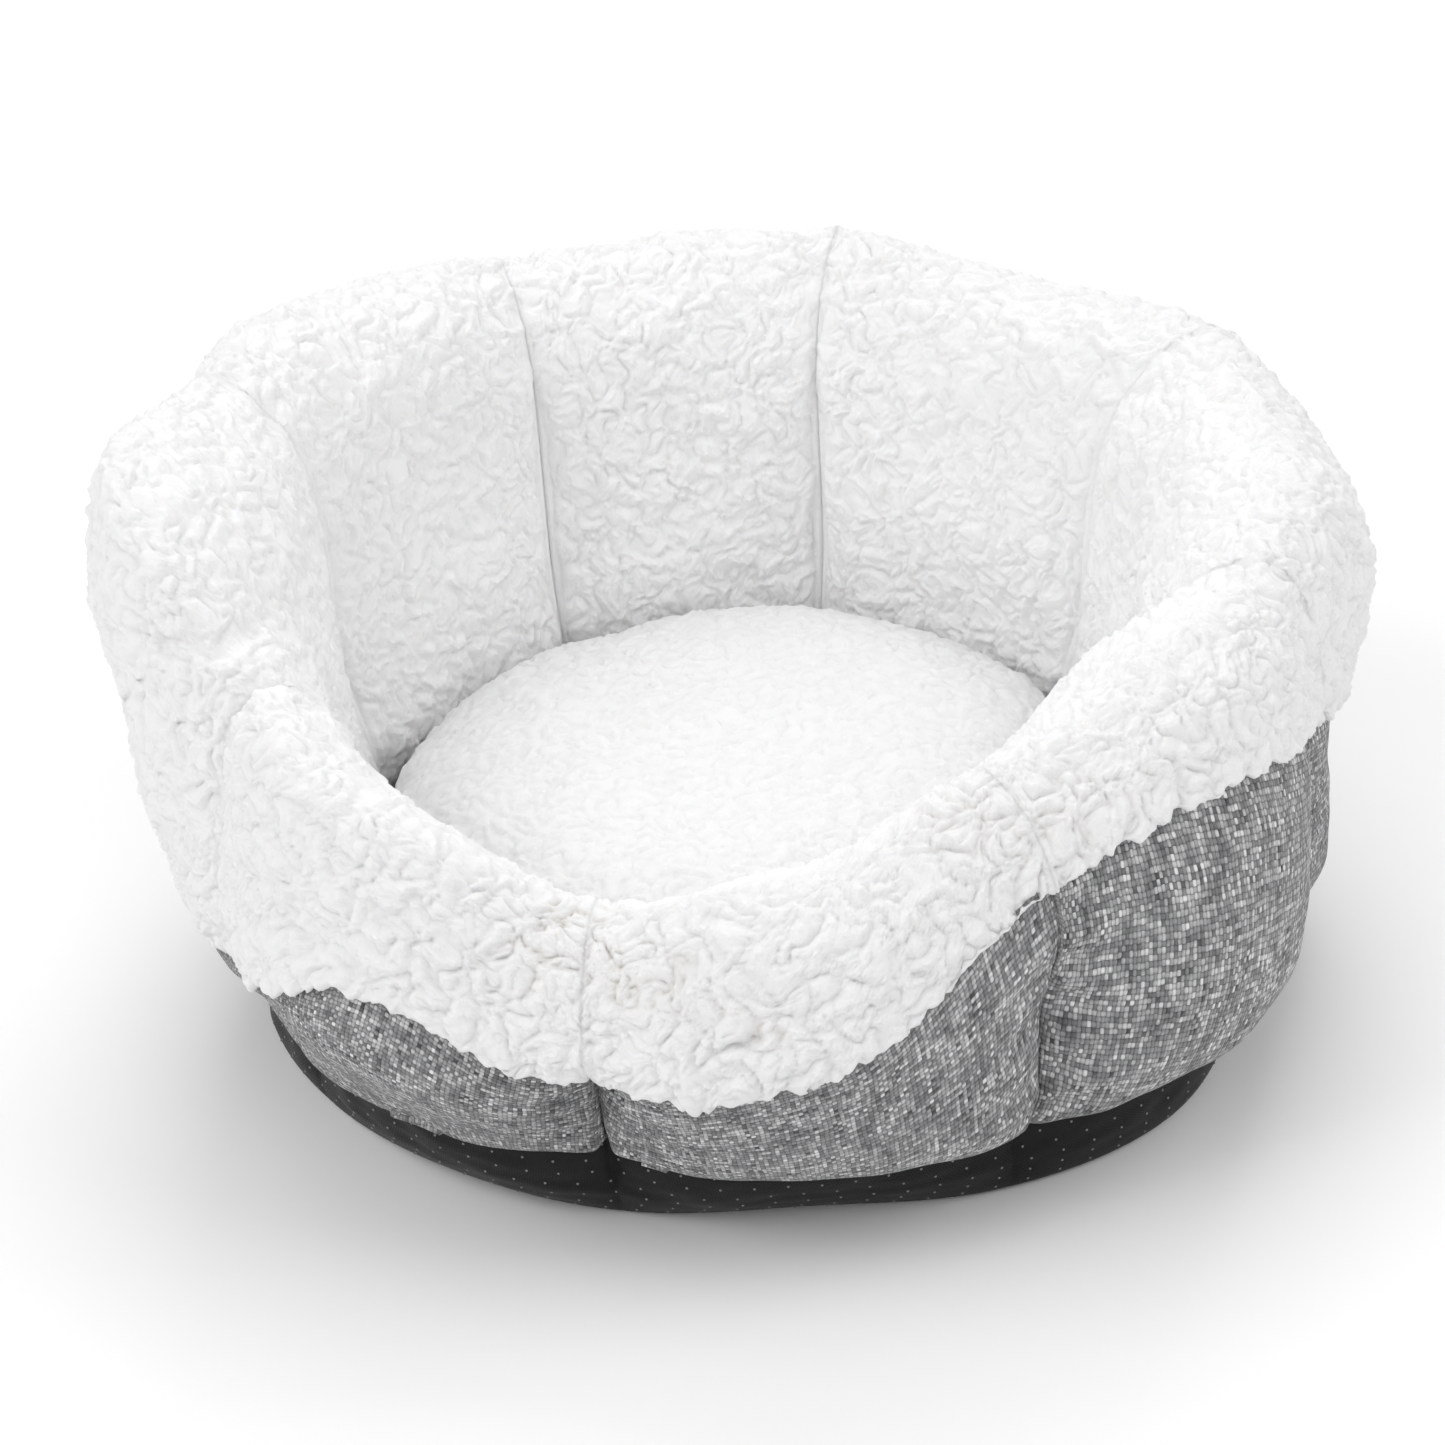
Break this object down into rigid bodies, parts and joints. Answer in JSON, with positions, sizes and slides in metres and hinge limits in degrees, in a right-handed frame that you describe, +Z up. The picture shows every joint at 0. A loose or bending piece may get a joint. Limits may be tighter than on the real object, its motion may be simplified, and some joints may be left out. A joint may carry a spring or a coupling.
{
  "type": "pet cushion bed",
  "caption": "Round padded pet bed: high back, low front, stuffed channels lined in white fleece over grey woven panels, black non-slip base, loose round cushion.",
  "frame": {"origin": "on the floor, under the middle of the base (centre of the underside rest face)", "axes": "+Z up, -Y towards the low entrance side, +X to the right seen from the entrance"},
  "size_m": [0.4336, 0.4156, 0.2216],
  "materials": {
    "base_cloth": "black non-slip cloth with tiny pale dots",
    "grey_weave": "heathered linen-look basket weave",
    "white_fleece": "curly fleece pile",
    "floor_cloth": "plain cloth",
    "stuffing": "loose fibre",
    "white_thread": "spun sewing thread",
    "black_thread": "spun sewing thread"
  },
  "bodies": {
    "tub": {"base_fabric": "base_cloth", "floor_pad": "stuffing", "floor_lining": "floor_cloth", "outer_back_right": "grey_weave", "outer_back": "grey_weave", "outer_back_left": "grey_weave", "outer_left": "grey_weave", "outer_front_left": "grey_weave", "outer_front": "grey_weave", "outer_front_right": "grey_weave", "outer_right": "grey_weave", "lining_back_right": "white_fleece", "lining_back": "white_fleece", "lining_back_left": "white_fleece", "lining_left": "white_fleece", "lining_front_left": "white_fleece", "lining_front": "white_fleece", "lining_front_right": "white_fleece", "lining_right": "white_fleece", "fill_back_right": "stuffing", "fill_back": "stuffing", "fill_back_left": "stuffing", "fill_left": "stuffing", "fill_front_left": "stuffing", "fill_front": "stuffing", "fill_front_right": "stuffing", "fill_right": "stuffing", "thread_right_back_right": "white_thread", "thread_back_right_back": "white_thread", "thread_back_back_left": "white_thread", "thread_back_left_left": "white_thread", "thread_left_front_left": "white_thread", "thread_front_left_front": "white_thread", "thread_front_front_right": "white_thread", "thread_front_right_right": "white_thread", "thread_cuff": "white_thread", "thread_base": "black_thread"},
    "cushion": {"cushion_top": "white_fleece", "cushion_bottom": "floor_cloth", "cushion_fill": "stuffing", "cushion_seam": "white_thread"}
  },
  "joints": [
    {"name": "cushion_lift", "type": "slide", "parent": "tub", "child": "cushion", "axis": [0, 0, 1], "range_m": [0, 0.25]}
  ]
}
